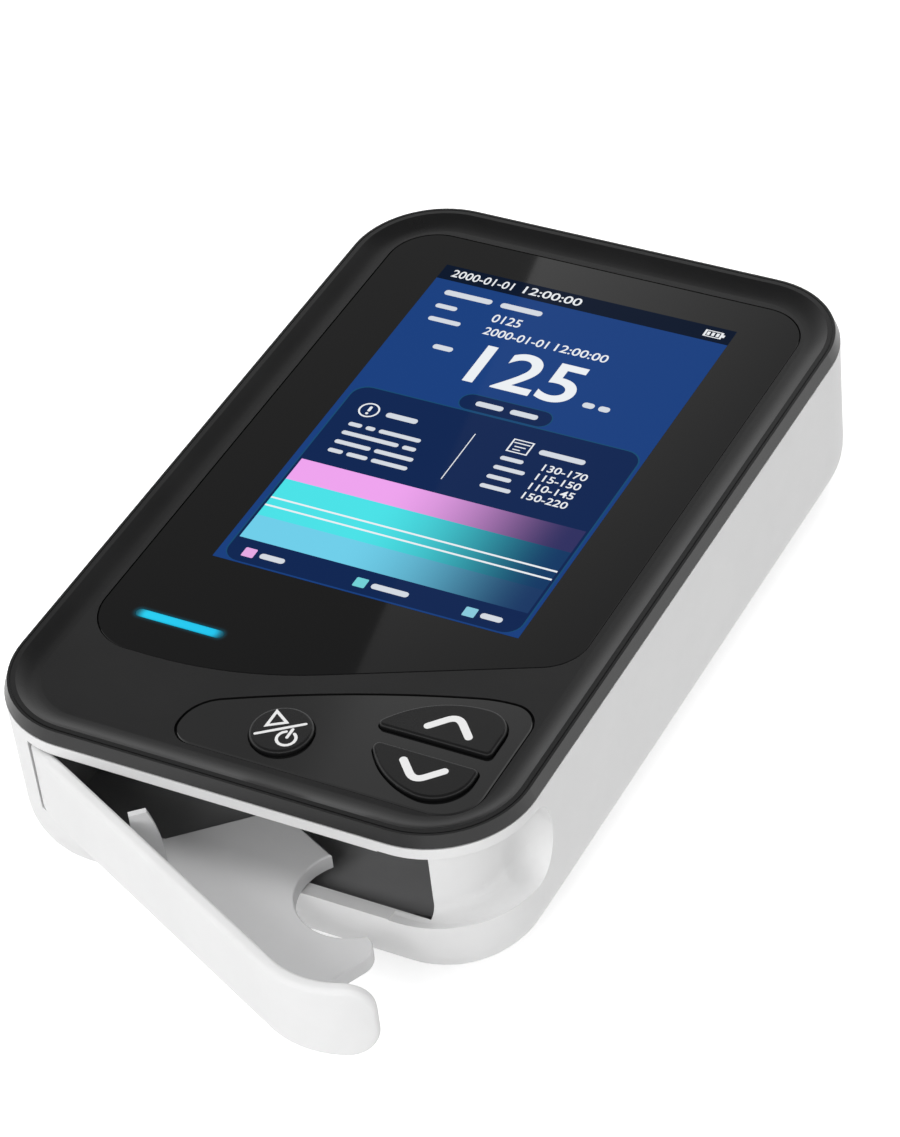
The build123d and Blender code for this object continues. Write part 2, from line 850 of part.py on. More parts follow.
def bay_liner():
    """Dark liner of the tray bay: floor, back, sides and a stepped roof, open at the front."""
    front = front_y + wall + fit_gap
    back = front_y + bay_depth
    step = front_y + bay_step_reach
    head = opening_top + fit_gap
    inside = make_face(
        Polyline(
            (front - 1, bay_floor),
            (front - 1, head),
            (step, head),
            (step, bay_roof),
            (back, bay_roof),
            (back, bay_floor),
            close=True,
        )
    )
    skirt_inset = wall + skirt_gap + skirt_thickness + fit_gap
    roof_front = front_y + skirt_inset
    outside = make_face(
        Polyline(
            (front, bay_floor - liner_wall),
            (front, head - fit_gap),
            (roof_front, head - fit_gap),
            (roof_front, head + liner_wall),
            (step + liner_wall, head + liner_wall),
            (step + liner_wall, bay_roof + liner_wall),
            (back + liner_wall, bay_roof + liner_wall),
            (back + liner_wall, bay_floor - liner_wall),
            close=True,
        )
    )
    side = Plane(origin=(0, 0, 0), x_dir=(0, 1, 0), z_dir=(1, 0, 0))
    body = extrude(side * outside, amount=liner_right - liner_left).translate((liner_left, 0, 0))
    width = liner_right - liner_left - 2 * liner_wall
    body -= extrude(side * inside, amount=width).translate((liner_left + liner_wall, 0, 0))
    for x in (liner_left + liner_leg_side_inset, liner_right - liner_leg_side_inset):
        leg_y = back - liner_leg_back_inset
        body += rod(x, leg_y, floor_z, bay_floor - liner_wall, liner_leg_radius)
    body -= rod(hinge_x, hinge_y, 0, rim_z, front_thickness / 2 + tray_gap)
    seat_back = corner_radius - seat_depth - scoop_wall - fit_gap
    corner = block(corner_x, side_x, front_y, corner_y, 0, rim_z)
    body -= corner - rod(corner_x, corner_y, 0, rim_z, seat_back)
    body -= slab(outline() - outline(skirt_inset), skirt_z - fit_gap, rim_z)
    return body - optic_outline(fit_gap)


def optic_outline(extra=0.0):
    """Two arms of the optical block and the spine behind the bay."""
    left = notch_x - optic_width / 2 - extra
    right = notch_x + optic_width / 2 + extra
    front = front_y + optic_front_reach - extra
    back = front_y + optic_back_reach
    low_arm = block(left, right, front, back, optic_bottom, lower_arm_top)
    high_arm = block(left, right, front, back, upper_arm_bottom - extra, upper_arm_top + extra)
    spine_front = front_y + bay_depth + liner_wall + fit_gap
    return low_arm + high_arm + block(left, right, spine_front, back, optic_bottom, upper_arm_top)


def optical_block():
    """Black block that reaches over and under the plate, bored for the light path."""
    beam_y = front_y + beam_reach
    body = optic_outline()
    body -= rod(notch_x, beam_y, optic_bottom - 1, upper_arm_top + 1, optic_bore_radius)
    return body


def light_source():
    """Lamp in the upper arm."""
    return rod(notch_x, front_y + beam_reach, upper_arm_top - lamp_height, upper_arm_top, lamp_radius)


def beam_lenses():
    """Two lenses in the light path, one in each arm."""
    y = front_y + beam_reach
    upper_z = upper_arm_bottom + lens_recess
    lower_z = lower_arm_top - lens_recess
    upper = rod(notch_x, y, upper_z, upper_z + lens_height, lens_radius)
    lower = rod(notch_x, y, lower_z - lens_height, lower_z, lens_radius)
    return Compound(children=[upper, lower])


def light_detector():
    """Detector at the foot of the lower arm."""
    y = front_y + beam_reach
    return rod(notch_x, y, optic_bottom, optic_bottom + detector_height, lamp_radius)


def main_board():
    """Main circuit board under the display."""
    return block(
        -board_half_width, board_half_width, board_front, board_back, board_bottom, board_top
    )


def board_chips():
    """Packages on the underside of the main board."""
    pieces = []
    for (width, length, height), (x, back_inset) in zip(chip_sizes, chip_places):
        chip = Box(width, length, height, align=(Align.CENTER, Align.CENTER, Align.MAX))
        pieces.append(Pos(x, board_back - back_inset, board_bottom) * chip)
    return Compound(children=pieces)


def charging_port():
    """Metal charging socket on the back edge of the main board."""
    face = Rectangle(port_width, port_height)
    face = fillet(face.vertices(), port_height / 2 - port_corner_relief)
    hole = offset(face, -port_wall)
    mouth = back_y - port_mouth_inset
    bore_depth = port_depth - port_back_wall
    body = extrude(Plane.XZ * Pos(0, port_z) * face, amount=port_depth).translate((0, mouth, 0))
    bore = extrude(Plane.XZ * Pos(0, port_z) * hole, amount=bore_depth).translate((0, mouth, 0))
    tongue_bar = block(
        -port_tongue_width / 2,
        port_tongue_width / 2,
        mouth - bore_depth,
        mouth - port_tongue_inset,
        port_z - port_tongue_height / 2,
        port_z + port_tongue_height / 2,
    )
    return body - bore + tongue_bar


def battery():
    """Flat rechargeable cell in the cradle on the floor."""
    face = Pos(0, battery_y) * RectangleRounded(battery_width, battery_length, battery_corner)
    return slab(face, floor_z, floor_z + battery_height)


def buzzer():
    """Round sounder under the main board."""
    x = board_half_width - buzzer_side_inset
    y = board_back - buzzer_back_inset
    return rod(x, y, board_bottom - buzzer_height, board_bottom, buzzer_radius)


def detent_spring():
    """Bowed steel strip behind the bay that the shut plate presses."""
    back = front_y + bay_depth
    half = spring_span / 2
    middle_z = (plate_bottom + plate_top) / 2
    face = make_face(
        [
            ThreePointArc(
                (spring_x - half, back), (spring_x, back - spring_bow), (spring_x + half, back)
            ),
            Line((spring_x + half, back), (spring_x - half, back)),
        ]
    )
    return slab(face, middle_z - spring_height / 2, middle_z + spring_height / 2)


def feet():
    """Four round rubber feet in shallow seats."""
    pieces = []
    for x in (-foot_x, foot_x):
        for y in (-foot_y, foot_y):
            pieces.append(rod(x, y, -foot_standoff, foot_seat, foot_radius))
    return Compound(children=pieces)


def case_screws():
    """Four screws from below through the bosses into the cover's posts."""
    head_top = screw_head_recess + screw_head_height
    pieces = []
    for x, y in boss_places:
        screw = rod(x, y, screw_head_recess, head_top, screw_head_radius)
        pieces.append(screw + rod(x, y, screw_head_recess, head_top + screw_length, screw_radius))
    return Compound(children=pieces)


os.makedirs("parts", exist_ok=True)

nodes = {
    "lower_housing": lower_housing(),
    "top_cover": top_cover(),
    "display_window": display_window(),
    "status_light": status_light(),
    "display_module": display_module(),
    "display_bracket": display_bracket(),
    "control_panel": control_panel(),
    "power_button": power_button(),
    "up_button": up_button(),
    "down_button": down_button(),
    "key_switches": key_switches(),
    "key_board": key_board(),
    "tray_front": tray_front(),
    "tray_plate": tray_plate(),
    "hinge_pin": hinge_pin(),
    "bay_liner": bay_liner(),
    "optical_block": optical_block(),
    "light_source": light_source(),
    "beam_lenses": beam_lenses(),
    "light_detector": light_detector(),
    "main_board": main_board(),
    "board_chips": board_chips(),
    "charging_port": charging_port(),
    "battery": battery(),
    "buzzer": buzzer(),
    "detent_spring": detent_spring(),
    "feet": feet(),
    "case_screws": case_screws(),
}

for name, shape in nodes.items():
    export_step(shape, f"parts/{name}.step")
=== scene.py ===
from math import atan2, cos, hypot, pi, radians, sin

import bmesh
import bpy
from mathutils import Matrix, Vector


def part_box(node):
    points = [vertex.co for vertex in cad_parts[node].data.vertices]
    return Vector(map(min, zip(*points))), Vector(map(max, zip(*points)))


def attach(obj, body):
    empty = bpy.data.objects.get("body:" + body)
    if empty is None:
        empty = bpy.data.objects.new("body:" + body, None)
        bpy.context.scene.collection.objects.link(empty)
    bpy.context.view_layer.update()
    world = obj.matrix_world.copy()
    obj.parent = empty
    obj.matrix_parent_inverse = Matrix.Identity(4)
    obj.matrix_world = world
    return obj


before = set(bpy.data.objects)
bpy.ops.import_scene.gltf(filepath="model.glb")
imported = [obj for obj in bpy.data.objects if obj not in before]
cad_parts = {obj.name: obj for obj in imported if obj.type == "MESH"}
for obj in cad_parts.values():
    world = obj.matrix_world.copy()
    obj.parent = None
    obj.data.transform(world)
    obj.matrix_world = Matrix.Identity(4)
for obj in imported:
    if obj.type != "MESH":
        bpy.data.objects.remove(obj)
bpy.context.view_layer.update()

# Lower case and tray front.
# White injection-moulded shells with a fine satin texture from the mould, whose sheen varies a
# little. The tray front turns on a pin in the left end of the case opening.
mm = 0.001
case_white = (0.79, 0.79, 0.79)
case_white_shade = (0.755, 0.755, 0.756)
patch_scale = 55.0


class Graph:
    """Shader nodes of one material or world, with a short call for each kind used here."""

    def __init__(self, owner):
        owner.use_nodes = True
        self.nodes = owner.node_tree.nodes
        self.link = owner.node_tree.links.new

    def add(self, kind, **settings):
        """New node, with its inputs or attributes set by name."""
        made = self.nodes.new("ShaderNode" + kind)
        for key, value in settings.items():
            if key in made.inputs:
                made.inputs[key].default_value = value
            else:
                setattr(made, key, value)
        return made

    def feed(self, socket, value):
        """Give a socket a plain value, or link another socket to it."""
        if isinstance(value, bpy.types.NodeSocket):
            self.link(value, socket)
        else:
            socket.default_value = value

    def place(self):
        """Point on the piece, in the part's own coordinates."""
        return self.add("TexCoord").outputs["Object"]

    def split(self, vector):
        """X, Y and Z of a vector."""
        made = self.add("SeparateXYZ")
        self.link(vector, made.inputs["Vector"])
        return made.outputs

    def maths(self, operation, *terms):
        """Result of a sum on sockets and numbers."""
        made = self.add("Math", operation=operation)
        for socket, term in zip(made.inputs, terms):
            self.feed(socket, term)
        return made.outputs["Value"]

    def noise(self, place, scale, detail, roughness=0.5):
        """Cloudy value between 0 and 1."""
        made = self.add("TexNoise", Scale=scale, Detail=detail, Roughness=roughness)
        self.link(place, made.inputs["Vector"])
        return made.outputs["Fac"]

    def remap(self, source, old, new, curve="LINEAR"):
        """Value that runs over the new range while the source runs over the old one."""
        made = self.add("MapRange", interpolation_type=curve)
        for end, was, becomes in zip(("Min", "Max"), old, new):
            self.feed(made.inputs["From " + end], was)
            self.feed(made.inputs["To " + end], becomes)
        self.link(source, made.inputs["Value"])
        return made.outputs["Result"]

    def ramp(self, source, first, second, start=0.0, end=1.0):
        """Colour that goes from the first to the second while the source goes from start to end."""
        made = self.add("ValToRGB")
        low, high = made.color_ramp.elements
        low.position, high.position = start, end
        low.color, high.color = (*first, 1), (*second, 1)
        self.link(source, made.inputs["Fac"])
        return made.outputs["Color"]


def new_material(name):
    """New material with its graph and the sockets of its surface shader."""
    material = bpy.data.materials.new(name)
    graph = Graph(material)
    return material, graph, graph.nodes["Principled BSDF"].inputs


def moulded_plastic(name, light, dark, roughness, grain, depth, gloss=0.5, swing=0.06):
    """Moulded plastic: two close shades in soft patches, uneven sheen, mould grain as bump."""
    material, graph, skin = new_material(name)
    skin["Specular IOR Level"].default_value = gloss
    place = graph.place()
    cloud = graph.noise(place, patch_scale, detail=4.0, roughness=0.6)
    graph.link(graph.ramp(cloud, dark, light, start=0.35, end=0.65), skin["Base Color"])
    sheen = graph.remap(cloud, (0, 1), (roughness - swing, roughness + swing))
    graph.link(sheen, skin["Roughness"])
    bump = graph.add("Bump", Strength=0.5, Distance=depth)
    graph.link(graph.noise(place, grain, detail=2.0), bump.inputs["Height"])
    graph.link(bump.outputs["Normal"], skin["Normal"])
    return material


def dress(cad_node, material):
    """Give a carried-over solid its material."""
    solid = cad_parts[cad_node]
    solid.data.materials.clear()
    solid.data.materials.append(material)


case_plastic = moulded_plastic(
    "case_plastic", case_white, case_white_shade, roughness=0.42, grain=3200, depth=0.02 * mm
)
dress("lower_housing", case_plastic)
dress("tray_front", case_plastic)

# Top cover.
# Black moulded frame with a fine satin grain, held by four screws from below. The window and the
# control panel lie on ledges in it.
cover_black = (0.0080, 0.0080, 0.0082)
cover_black_shade = (0.0062, 0.0062, 0.0064)
cover_plastic = moulded_plastic(
    "cover_plastic", cover_black, cover_black_shade, roughness=0.30, grain=4200, depth=0.018 * mm
)
dress("top_cover", cover_plastic)

# Display window.
# One sheet of gloss black acrylic bonded into the cover. Round the slot of the status guide a
# cyan glow is painted on the sheet as emission, for the guide's light spreading a little in it.
window_black = (0.0018, 0.0018, 0.0019)
window_gloss = 0.35
polish_roughness = (0.015, 0.035)
swirl_scale = 900.0
bar_cyan = (0.01, 0.58, 0.86)
painted_glow_strength = 0.09
painted_glow_start = 0.3 * mm
painted_glow_end = 1.6 * mm
bar_low, bar_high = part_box("status_light")
bar_middle = (bar_low + bar_high) / 2
bar_half_line = (bar_high.x - bar_low.x) / 2 - (bar_high.y - bar_low.y) / 2


def polish(graph, skin, place):
    """Mirror finish with faint swirls that are a little hazier."""
    haze = graph.noise(place, swirl_scale, detail=5.0)
    graph.link(graph.remap(haze, (0, 1), polish_roughness), skin["Roughness"])


def distance_from_bar(graph, place, half_line):
    """Level distance from a line of this half length down the middle of the light bar."""
    point = graph.split(place)
    along = graph.maths("SUBTRACT", point["X"], bar_middle.x)
    past_end = graph.maths("SUBTRACT", graph.maths("ABSOLUTE", along), half_line)
    flat = graph.add("CombineXYZ")
    graph.link(graph.maths("MAXIMUM", past_end, 0.0), flat.inputs["X"])
    graph.link(graph.maths("SUBTRACT", point["Y"], bar_middle.y), flat.inputs["Y"])
    reach = graph.add("VectorMath", operation="LENGTH")
    graph.link(flat.outputs["Vector"], reach.inputs[0])
    return reach.outputs["Value"]


def window_acrylic():
    """Gloss acrylic with a painted cyan glow that fades away from the light slot."""
    material, graph, skin = new_material("window_acrylic")
    skin["Base Color"].default_value = (*window_black, 1)
    skin["Specular IOR Level"].default_value = window_gloss
    skin["Emission Color"].default_value = (*bar_cyan, 1)
    place = graph.place()
    polish(graph, skin, place)
    reach = distance_from_bar(graph, place, bar_half_line)
    # Painted light: cyan emission on the acrylic itself, strongest at the light slot and fading away
    # from it.
    glow = graph.remap(reach, (painted_glow_start, painted_glow_end), (painted_glow_strength, 0.0), "SMOOTHERSTEP")
    graph.link(glow, skin["Emission Strength"])
    return material


dress("display_window", window_acrylic())

# Status light.
# Frosted clear guide with its face flush in the window. It is lit cyan from below and dims
# towards its ends and its sides.
guide_tint = (0.001, 0.02, 0.03)
guide_left_glow = (0.008, 0.60, 0.86)
guide_right_glow = (0.0, 0.52, 0.82)
guide_dim_glow = 0.12
guide_bright_half_width = 0.30 * mm
guide_dim_half_width = 1.9 * mm
guide_end_margin = 1.2 * mm


def light_guide():
    """Glowing frosted plastic that dims towards its ends and its sides."""
    material, graph, skin = new_material("light_guide")
    skin["Base Color"].default_value = (*guide_tint, 1)
    skin["Roughness"].default_value = 0.3
    skin["Specular IOR Level"].default_value = window_gloss
    place = graph.place()
    run = graph.remap(graph.split(place)["X"], (bar_low.x, bar_high.x), (0, 1))
    graph.link(graph.ramp(run, guide_left_glow, guide_right_glow), skin["Emission Color"])
    reach = distance_from_bar(graph, place, bar_half_line - guide_end_margin)
    bright_to_dim = (guide_bright_half_width, guide_dim_half_width)
    glow = graph.remap(reach, bright_to_dim, (1.0, guide_dim_glow), "SMOOTHSTEP")
    graph.link(glow, skin["Emission Strength"])
    return material


dress("status_light", light_guide())

# Screen picture.
# The lit liquid crystal picture as it shows through the window, laid in thin sheets on its face:
# plain fields, bars for words, digits and colour bands. Sizes and places in this section are in
# millimetres, from the middle of the picture.
screen_width = 48.96
screen_length = 73.44
screen_behind_module_middle = 3.0
screen_gloss = 0.03
sheet_step = 0.008
sheet_thickness = 0.012
status_bar_height = 3.5
band_left, band_right = -22.9, 23.4
band_edges = (-12.9, -17.8, -26.4, -31.6)
band_fade_start = -8.0
range_step = 2.2
legend_square = 1.9
half_width = screen_width / 2
half_length = screen_length / 2
module_low, module_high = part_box("display_module")
screen_middle = (module_low + module_high) / 2 / mm + Vector((0, screen_behind_module_middle, 0))
window_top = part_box("display_window")[1].z / mm


def screen_glow(name, left, right=None, fade_start=0.0, fade_end=1.0):
    """Picture element seen through gloss acrylic; it may fade to a second colour on the right."""
    material, graph, skin = new_material(name)
    skin["Base Color"].default_value = (0.001, 0.001, 0.001, 1)
    skin["Specular IOR Level"].default_value = screen_gloss
    skin["Emission Color"].default_value = (*left, 1)
    skin["Emission Strength"].default_value = 1.0
    place = graph.place()
    polish(graph, skin, place)
    if right:
        ends = (fade_start * mm, fade_end * mm)
        run = graph.remap(graph.split(place)["X"], ends, (0, 1), "SMOOTHSTEP")
        graph.link(graph.ramp(run, left, right), skin["Emission Color"])
    return material


field_blue = screen_glow("field_blue", (0.0090, 0.050, 0.215))
status_navy = screen_glow("status_navy", (0.0015, 0.0070, 0.024))
card_navy = screen_glow("card_navy", (0.0040, 0.0190, 0.086))
card_edge = screen_glow("card_edge", (0.008, 0.075, 0.17))
text_white = screen_glow("text_white", (0.84, 0.87, 0.90))
text_soft = screen_glow("text_soft", (0.66, 0.70, 0.76))
bands = (
    ("pink", (0.86, 0.37, 0.86), (0.03, 0.03, 0.12), 22.0),
    ("turquoise", (0.07, 0.76, 0.80), (0.006, 0.04, 0.13), 23.0),
    ("blue", (0.16, 0.62, 0.82), (0.01, 0.04, 0.13), 23.0),
)
legend = (
    (-20.7, screen_glow("legend_pink", (0.80, 0.40, 0.78))),
    (-2.6, screen_glow("legend_turquoise", (0.17, 0.64, 0.68))),
    (14.8, screen_glow("legend_blue", (0.25, 0.60, 0.73))),
)
status_bar_middle = half_length - status_bar_height / 2
card_bottom = 0.3 - half_length


def mesh_piece(name, mesh, material, body):
    """Object for a new mesh, which rides on a body."""
    mesh.materials.clear()
    mesh.materials.append(material)
    piece = bpy.data.objects.new(name, mesh)
    bpy.context.scene.collection.objects.link(piece)
    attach(piece, body)


def flat_piece(name, outlines, low, height, material, body):
    """Thin upright-sided piece from closed outlines in millimetres."""
    mesh = bpy.data.meshes.new(name)
    work = bmesh.new()
    for outline in outlines:
        bottom = [work.verts.new((x * mm, y * mm, low * mm)) for x, y in outline]
        top = [work.verts.new((x * mm, y * mm, (low + height) * mm)) for x, y in outline]
        work.faces.new(top)
        work.faces.new(bottom[::-1])
        for i in range(len(outline)):
            j = (i + 1) % len(outline)
            work.faces.new((bottom[i], bottom[j], top[j], top[i]))
    bmesh.ops.recalc_face_normals(work, faces=work.faces)
    work.to_mesh(mesh)
    work.free()
    mesh_piece(name, mesh, material, body)


def round_box(left, right, low, high, radius=0.0):
    """Counter-clockwise outline of a rectangle with round corners."""
    if radius <= 0:
        return [(left, low), (right, low), (right, high), (left, high)]
    corners = [(right - radius, low + radius), (right - radius, high - radius)]
    corners += [(left + radius, high - radius), (left + radius, low + radius)]
    points = []
    for turn, (x, y) in enumerate(corners):
        for step in range(7):
            angle = -pi / 2 + turn * pi / 2 + step * pi / 12
            points.append((x + radius * cos(angle), y + radius * sin(angle)))
    return points


def on_screen(name, outlines, layer, material):
    """Picture element on the window, a hair above the layers under it."""
    placed = [[(x + screen_middle.x, y + screen_middle.y) for x, y in outline] for outline in outlines]
    low = window_top + layer * sheet_step
    flat_piece(name, placed, low, sheet_thickness, material, "case")


def ring_on_screen(name, x, y, outer, inner, layer, material, sides=36, stretch=1.0):
    """Flat ring round a point, or a frame when it has four sides."""
    mesh = bpy.data.meshes.new(name)
    work = bmesh.new()
    low = window_top + layer * sheet_step
    high = low + sheet_thickness
    loops = []
    for radius, z in ((outer, low), (outer, high), (inner, high), (inner, low)):
        loop = []
        for step in range(sides):
            angle = 2 * pi * (step + 0.5) / sides
            point_x = screen_middle.x + x + radius * cos(angle) * stretch
            point_y = screen_middle.y + y + radius * sin(angle)
            loop.append(work.verts.new((point_x * mm, point_y * mm, z * mm)))
        loops.append(loop)
    for near, far in zip(loops, loops[1:] + loops[:1]):
        for step in range(sides):
            after = (step + 1) % sides
            work.faces.new((near[step], near[after], far[after], far[step]))
    bmesh.ops.recalc_face_normals(work, faces=work.faces)
    work.to_mesh(mesh)
    work.free()
    mesh_piece(name, mesh, material, "case")


def digits(name, text, left, right, y, size, layer, weight=0.02):
    """Generic digits as a flat mesh that fills the width from left to right."""
    curve = bpy.data.curves.new(name + "_line", "FONT")
    curve.body = text
    curve.size = size * mm
    curve.offset = weight * mm
    curve.align_y = "CENTER"
    curve.extrude = sheet_thickness / 2 * mm
    draft = bpy.data.objects.new(name + "_line", curve)
    bpy.context.scene.collection.objects.link(draft)
    bpy.context.view_layer.update()
    formed = draft.evaluated_get(bpy.context.evaluated_depsgraph_get())
    mesh = bpy.data.meshes.new_from_object(formed)
    bpy.data.objects.remove(draft)
    bpy.data.curves.remove(curve)
    mesh.name = name
    start = min(point.co.x for point in mesh.vertices)
    span = max(point.co.x for point in mesh.vertices) - start
    place = Vector((left, y, 0)) + screen_middle
    place.z = window_top + layer * sheet_step + sheet_thickness / 2
    mesh.transform(Matrix.Translation((-start, 0, 0)))
    mesh.transform(Matrix.Diagonal(((right - left) * mm / span, 1, 1, 1)))
    mesh.transform(Matrix.Translation(place * mm))
    mesh_piece(name, mesh, text_white, "case")


def word_row(y, spans, height=0.85):
    """Outlines of a row of bars that stand for words."""
    low, high = y - height / 2, y + height / 2
    return [round_box(left, right, low, high, height / 2.2) for left, right in spans]


on_screen("screen_field", [round_box(-half_width, half_width, -half_length, half_length)], 1, field_blue)
status_bar = round_box(-half_width, half_width, half_length - status_bar_height, half_length)
on_screen("screen_status_bar", [status_bar], 2, status_navy)
on_screen("screen_pill_edge", [round_box(-7.4, 7.8, 5.8, 9.6, 1.85)], 2, card_edge)
on_screen("screen_pill", [round_box(-7.25, 7.65, 5.95, 9.45, 1.7)], 3, card_navy)
on_screen("screen_card_edge", [round_box(-23.5, 24.0, card_bottom, 5.7, 2.6)], 2, card_edge)
on_screen("screen_card", [round_box(-23.3, 23.8, card_bottom, 5.5, 2.5)], 3, card_navy)
for high, low, (shade, left, right, fade_end) in zip(band_edges, band_edges[1:], bands):
    paint = screen_glow("band_" + shade, left, right, band_fade_start, fade_end)
    on_screen("screen_band_" + shade, [round_box(band_left, band_right, low, high)], 4, paint)
on_screen(
    "screen_rules",
    [
        round_box(band_left, band_right, -22.4, -22.05),
        round_box(band_left, band_right, -24.2, -23.85),
        round_box(-1.55, -1.4, -9.8, 1.2),
    ],
    5,
    text_white,
)
digits("screen_date", "2000-01-01", -22.6, -12.2, status_bar_middle, size=2.5, layer=4)
digits("screen_clock", "12:00:00", -10.3, -0.6, status_bar_middle, size=2.5, layer=4)
digits("screen_record", "0125", -11.7, -6.9, 27.0, size=2.7, layer=3)
digits("screen_record_date", "2000-01-01", -11.5, -0.8, 23.8, size=2.5, layer=3)
digits("screen_record_time", "12:00:00", 0.5, 9.2, 23.8, size=2.5, layer=3)
digits("screen_reading", "125", -9.2, 8.2, 15.8, size=12.6, layer=4, weight=0.16)
on_screen(
    "screen_heading_words",
    word_row(30.4, [(-21.6, -13.5), (-12.0, -5.0)], 1.2)
    + word_row(27.0, [(-21.4, -17.8)], 1.0)
    + word_row(23.8, [(-21.0, -15.6)], 1.0)
    + word_row(17.8, [(-17.1, -13.8)], 1.1)
    + word_row(13.0, [(10.3, 12.2), (12.9, 14.7)], 1.2),
    3,
    text_soft,
)
on_screen("screen_pill_words", word_row(7.7, [(-4.7, -0.2), (1.0, 5.5)], 1.1), 4, text_soft)
on_screen(
    "screen_note_words",
    word_row(0.6, [(-16.0, -10.8)], 1.1)
    + word_row(-3.2, [(-20.3, -18.1), (-17.4, -15.9), (-15.2, -8.3)])
    + word_row(-5.3, [(-20.3, -10.9), (-10.2, -8.0)])
    + word_row(-7.5, [(-20.3, -14.4), (-13.7, -7.3)])
    + word_row(-9.6, [(-20.3, -17.9), (-17.2, -13.8), (-13.1, -7.2)]),
    5,
    text_soft,
)
range_rows = [-2.3 - range_step * row for row in range(4)]
range_words = word_row(0.8, [(9.2, 16.6)], 1.1)
for y, word_end in zip(range_rows, (8.1, 9.4, 8.3, 9.3)):
    range_words += word_row(y, [(4.4, word_end)])
on_screen("screen_range_words", range_words, 5, text_soft)
for row, text in enumerate(("130-170", "115-150", "110-145", "150-220")):
    digits(f"screen_range_{row + 1}", text, 11.3, 18.4, range_rows[row], size=2.1, layer=5)
legend_words = word_row(-34.3, [(-18.0, -14.0), (0.1, 6.0), (17.4, 20.8)], 1.1)
on_screen("screen_legend_words", legend_words, 5, text_soft)
for spot, (left, paint) in enumerate(legend):
    square = round_box(left, left + legend_square, -35.25, -35.25 + legend_square, 0.2)
    on_screen(f"screen_legend_{spot + 1}", [square], 5, paint)
ring_on_screen("screen_note_ring", -18.9, 0.6, 1.65, 1.38, 5, text_white)
on_screen(
    "screen_note_mark",
    [round_box(-19.13, -18.67, 0.3, 1.5, 0.2), round_box(-19.13, -18.67, -0.4, 0.05, 0.2)],
    5,
    text_white,
)
ring_on_screen("screen_list_frame", 6.1, 0.8, 2.1, 1.8, 5, text_white, sides=4, stretch=1.15)
on_screen(
    "screen_list_lines",
    [
        round_box(4.8, 7.4, 1.4, 1.6),
        round_box(5.2, 7.0, 0.6, 0.8),
        round_box(5.2, 6.4, -0.1, 0.1),
    ],
    5,
    text_white,
)
ring_on_screen("screen_cell_frame", 21.4, 34.95, 1.1, 0.85, 4, text_white, sides=4, stretch=1.9)
cell_bars = [round_box(20.4 + 0.75 * bar, 20.85 + 0.75 * bar, 34.55, 35.35) for bar in range(3)]
cell_tip = round_box(22.9, 23.25, 34.65, 35.25)
on_screen("screen_cell_bars", cell_bars + [cell_tip], 4, text_white)

# Control panel and keys.
# A smooth dark inset plate holds three soft-touch keys moulded in black, each with its sign
# printed in white ink. The keys are a little duller than the plate. Sizes are in millimetres.
panel_grey = (0.0042, 0.0042, 0.0043)
panel_grey_shade = (0.0034, 0.0034, 0.0035)
key_black = (0.0075, 0.0075, 0.0077)
key_black_shade = (0.0060, 0.0060, 0.0062)
ink_light = (0.88, 0.88, 0.88)
ink_shade = (0.76, 0.76, 0.76)
ink_height = 0.03
ink_bite = 0.005
arrow_line = 1.15
arrow_half_width = 3.1
arrow_from_key_end = 7.9
arrow_tip_from_gap = 5.9
up_ends_from_gap = 2.6
down_ends_from_gap = 2.7
power_line = 0.44
start_base = 3.0
start_depth = 2.35
power_ring_radius = 1.35
power_ring_half_gap = 28
up_low, up_high = (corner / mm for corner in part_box("up_button"))
down_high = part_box("down_button")[1] / mm
power_low, power_high = (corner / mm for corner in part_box("power_button"))
power_middle = ((power_low + power_high) / 2).to_2d()
key_top = up_high.z
arrow_x = up_high.x - arrow_from_key_end

panel_plastic = moulded_plastic(
    "panel_plastic", panel_grey, panel_grey_shade,
    roughness=0.08, grain=5200, depth=0.001 * mm, gloss=1.0, swing=0.02,
)
dress("control_panel", panel_plastic)
key_rubber = moulded_plastic(
    "key_rubber", key_black, key_black_shade,
    roughness=0.26, grain=5200, depth=0.012 * mm, gloss=0.55,
)
for key in ("power_button", "up_button", "down_button"):
    dress(key, key_rubber)


def white_ink():
    """Pad-printed white ink, slightly uneven, with a faint sheen."""
    material, graph, skin = new_material("white_ink")
    skin["Roughness"].default_value = 0.5
    speckle = graph.noise(graph.place(), 6000.0, detail=3.0)
    graph.link(graph.ramp(speckle, ink_shade, ink_light), skin["Base Color"])
    return material


def thick_line(points, width):
    """Outline of a line of one width with round ends, mitred at its bends."""
    half = width / 2
    left, right = [], []
    for i, (x, y) in enumerate(points):
        before = points[max(i - 1, 0)]
        after = points[min(i + 1, len(points) - 1)]
        arriving = Vector((x - before[0], y - before[1]))
        leaving = Vector((after[0] - x, after[1] - y))
        arriving = arriving.normalized() if arriving.length else leaving.normalized()
        leaving = leaving.normalized() if leaving.length else arriving
        along = (arriving + leaving).normalized()
        reach = half / max(along.dot(arriving), 0.3)
        left.append((x - along.y * reach, y + along.x * reach))
        right.append((x + along.y * reach, y - along.x * reach))
    outline = []
    for side, (x, y) in ((left, points[0]), (right[::-1], points[-1])):
        start = atan2(side[0][1] - y, side[0][0] - x)
        for step in range(1, 8):
            turn = start + pi - pi * step / 8
            outline.append((x + half * cos(turn), y + half * sin(turn)))
        outline += side
    return outline


def chevron(tip, ends):
    """Outline of an arrow sign, its tip eased into a small curve, from the Y of tip and ends."""
    apex = Vector((arrow_x, tip))
    first_end = Vector((arrow_x - arrow_half_width, ends))
    last_end = Vector((arrow_x + arrow_half_width, ends))
    bend_in, bend_out = apex.lerp(first_end, 0.4), apex.lerp(last_end, 0.4)
    shares = [step / 8 for step in range(9)]
    bend = [bend_in.lerp(apex, share).lerp(apex.lerp(bend_out, share), share) for share in shares]
    return thick_line([first_end, *bend, last_end], arrow_line)


